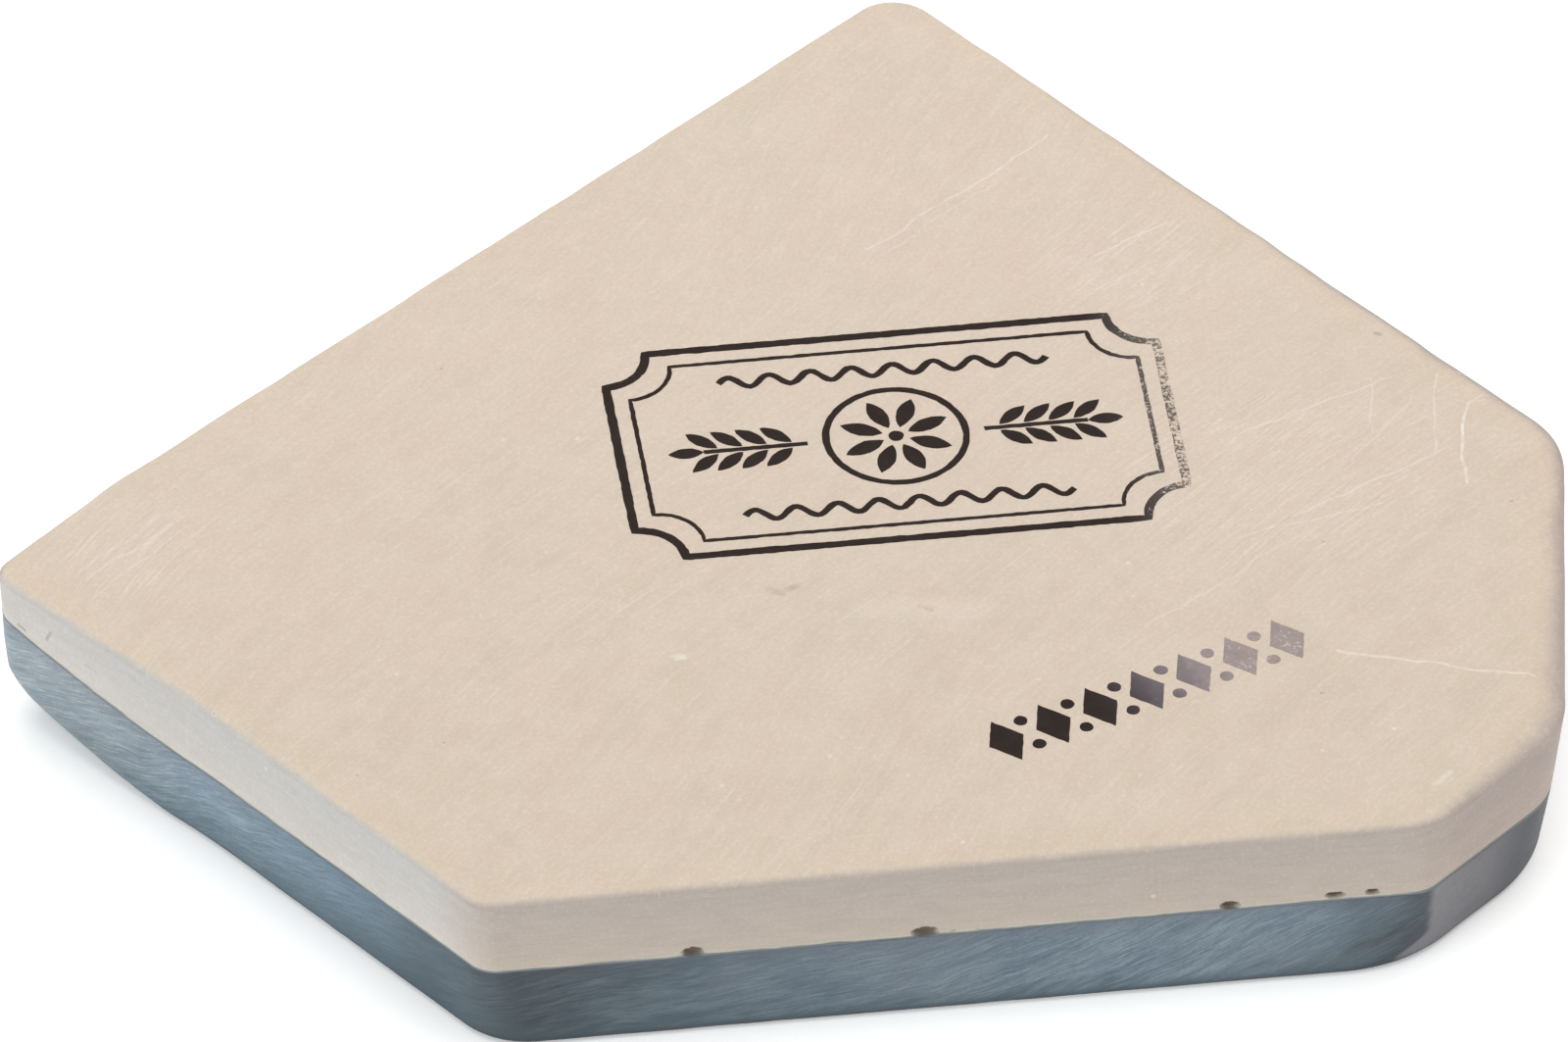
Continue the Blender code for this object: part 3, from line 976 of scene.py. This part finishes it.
def slate_material():
    material, g = new_material("slate_stone")
    place = g.place()
    x, y, z = g.split(place)
    below = g.attribute("below_bond")

    # The rock's beds rise towards +X in slow waves
    bent_x, bent_y, bent_z = g.split(g.bent(place, 0.16, 2.0, (1.5, 1.5, 1.5)))
    wave = g.math("SINE", g.times(g.plus(bent_x, 12.0), 0.085))
    rise = g.minus(g.times(bent_x, 0.30), g.times(wave, 2.36))
    rise = g.minus(rise, g.times(bent_y, 0.17))
    beds = g.node("ShaderNodeCombineXYZ", X=bent_x, Y=bent_y, Z=g.minus(bent_z, rise)).outputs[0]
    wisps = g.noise(g.stretched(beds, (4.5, 4.5, 0.70)), 1.0, 5.0, 0.70, 0.4)
    threads = g.noise(g.stretched(beds, (2.2, 2.2, 0.14)), 1.0, 3.0, 0.66, 0.2)
    broad = g.noise(place, 0.09, 2.0, 0.5)
    grain = g.noise(place, 4.0, 2.0, 0.65)

    # Strokes, bold by the left corner and faint in the middle
    tone = g.plus(g.times(wisps, 0.55), g.times(threads, 0.45))
    color = g.mix(g.steps(tone, 0.37, 0.64), SLATE_DARK, SLATE_LIGHT)
    bold = g.plus(g.steps(x, -33.0, -42.5, 0.36, 1.0), g.steps(x, 4.0, 18.0, 0.0, 0.16))
    stroked = g.times(bold, g.steps(wisps, 0.36, 0.60, 0.30, 0.85))
    under = g.times(g.steps(below, 0.1, 1.5, 1.0, 0.0), g.steps(wisps, 0.3, 0.6, 0.4, 1.0))
    color = g.painted(color, (
        (g.times(g.steps(threads, 0.53, 0.66), stroked), SLATE_STROKE),
        (g.times(g.steps(threads, 0.47, 0.33), g.times(bold, 0.55)), shade(SLATE_DARK, 0.62)),
        (g.steps(broad, 0.42, 0.66, 0.0, 0.25), SLATE_HAZE),
        (g.times(under, 0.45), SLATE_UNDER),
    ))

    # Broad light and dark parts along X, calmer on the back sides
    drift = g.plus(x, g.about_zero(broad, 12.0))
    drift = g.plus(drift, g.about_zero(wisps, 10.0))
    light = g.curve(drift, SLATE_SHADES, SHADES_MOST)
    light = g.mix(g.steps(y, -5.0, 4.0, 0.0, 0.85), light, (1.05, 1.05, 1.05))
    color = g.vector("MULTIPLY", color, light)
    color = g.tinted(color, g.steps(x, -38.0, -46.0), WHITE, (1.05, 0.97, 0.90))
    cool = g.times(g.steps(x, -38.0, -32.0), g.steps(y, -41.7, -38.5), g.steps(y, -12.0, -20.0))
    color = g.tinted(color, cool, WHITE, (1.02, 1.14, 1.19))
    fall = g.steps(x, -34.0, -16.0, 4.2, 1.8)
    low = g.math("DIVIDE", g.plus(z, g.about_zero(wisps, 2.5)), fall)
    low = g.math("SUBTRACT", 1.0, low, clamp=True)
    color = g.mix(g.times(low, 0.66), color, SLATE_LOW)

    # The bevelled right end shows a greyer bed, with a clear border at the corner
    border = g.steps(z, 0.5, 2.4, 34.6, 36.75)
    facet = g.steps(g.minus(g.plus(x, g.about_zero(wisps, 0.8)), border), -0.28, 0.36)
    facet = g.times(facet, g.steps(y, 8.0, -6.0))
    dull = g.mix(g.steps(threads, 0.35, 0.65), shade(SLATE_GREY, 0.92), shade(SLATE_GREY, 1.10))
    dull = g.mix(g.steps(x, 37.0, 40.5, 0.55, 0.0), dull, shade(SLATE_GREY, 1.45))
    # Painted shade: the facet's right end, which faces the key, is painted darker
    dull = g.mix(g.steps(x, 40.0, 44.5, 0.0, 0.95), dull, shade(SLATE_GREY, 0.38, 0.40, 0.43))

    # Painted contact shadow: a dark line along the slate's foot, by the floor
    foot = g.minus(z, g.times(wisps, 0.5))
    color = g.painted(color, (
        (g.times(facet, 0.9), dull),
        (g.steps(grain, 0.45, 0.75, 0.0, 0.22), SLATE_GRAIN),
        (g.steps(foot, -0.20, 0.60, 0.92, 0.0), PAINTED_FOOT_SHADOW),
        (g.steps(below, 0.0, 0.14, 0.45, 0.0), JOINT_LINE),
    ))
    height = g.plus(g.times(threads, 0.6), g.times(grain, 0.4))
    g.surface(color, g.steps(tone, 0.35, 0.65, 0.52, 0.66), height, 0.40, SLATE_BUMP, 0.4)
    return material


def floor_material():
    material, g = new_material("pale_floor")
    place = g.place()
    color = g.mix(g.noise(place, 0.01, 2.0), (0.93, 0.93, 0.93), (0.95, 0.95, 0.95))
    shader = g.surface(color, 0.9, g.noise(place, 0.5, 2.0), 0.05, FINE_BUMP)
    shader.inputs["Emission Color"].default_value = (*WHITE, 1.0)
    shader.inputs["Emission Strength"].default_value = FLOOR_GLOW
    return material


# Stage


def make_floor():
    data = bpy.data.meshes.new("floor")
    corners = [(-1, -1), (1, -1), (1, 1), (-1, 1)]
    data.from_pydata([(x * FLOOR_SIZE, y * FLOOR_SIZE, -FLOOR_GAP) for x, y in corners], [], [(0, 1, 2, 3)])
    data.materials.append(floor_material())
    floor = bpy.data.objects.new("floor", data)
    bpy.context.scene.collection.objects.link(floor)


def make_light():
    world = bpy.data.worlds.new("studio")
    world.use_nodes = True
    background = world.node_tree.nodes["Background"]
    background.inputs["Color"].default_value = (*WORLD_COLOR, 1.0)
    background.inputs["Strength"].default_value = WORLD_LIGHT
    bpy.context.scene.world = world
    for name, place, size, power, color in LAMPS:
        data = bpy.data.lights.new(name, "AREA")
        data.shape = "DISK"
        data.size = size
        data.energy = power
        data.color = color
        light = bpy.data.objects.new(name, data)
        light.location = place
        light.rotation_euler = (TARGET - Vector(place)).to_track_quat("-Z", "Y").to_euler()
        bpy.context.scene.collection.objects.link(light)


def make_camera():
    data = bpy.data.cameras.new("camera")
    data.lens = LENS
    data.sensor_width = SENSOR
    data.clip_start = 0.1
    data.clip_end = 50.0
    camera = bpy.data.objects.new("camera", data)
    forward = Vector((0.0, math.cos(ELEVATION), -math.sin(ELEVATION)))
    forward.rotate(Matrix.Rotation(AZIMUTH, 3, "Z"))
    camera.location = TARGET - forward * DISTANCE
    look = forward.to_track_quat("-Z", "Y").to_matrix() @ Matrix.Rotation(ROLL, 3, "Z")
    camera.rotation_euler = look.to_euler()
    bpy.context.scene.collection.objects.link(camera)
    bpy.context.scene.camera = camera


def dress():
    walls = Walls()
    group = honing_tone()
    honing = make_honing_layer(walls, honing_material(group))
    slate = make_slate(walls, slate_material())
    bond = make_bond_line(walls, bond_material())
    stamps = (
        make_cartouche(ink_material("stamp_ink", group, INK_GREY, 0.85, 0.66)),
        make_row(ink_material("worn_stamp_ink", group, INK_VIOLET, 0.62, 0.46)),
    )
    for piece in (honing, slate, bond, *stamps):
        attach(piece, "root")
    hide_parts("honing_layer")
    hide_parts("slate_backing")


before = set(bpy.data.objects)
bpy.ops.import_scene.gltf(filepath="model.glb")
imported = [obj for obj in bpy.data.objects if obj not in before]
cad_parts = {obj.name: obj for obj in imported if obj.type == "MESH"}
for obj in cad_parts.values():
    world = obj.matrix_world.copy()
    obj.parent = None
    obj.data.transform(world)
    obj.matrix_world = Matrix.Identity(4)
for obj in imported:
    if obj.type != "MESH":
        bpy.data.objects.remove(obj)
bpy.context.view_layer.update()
bpy.context.scene.view_settings.view_transform = "Standard"
noise.seed_set(NOISE_SEED)
dress()
make_floor()
make_light()
make_camera()
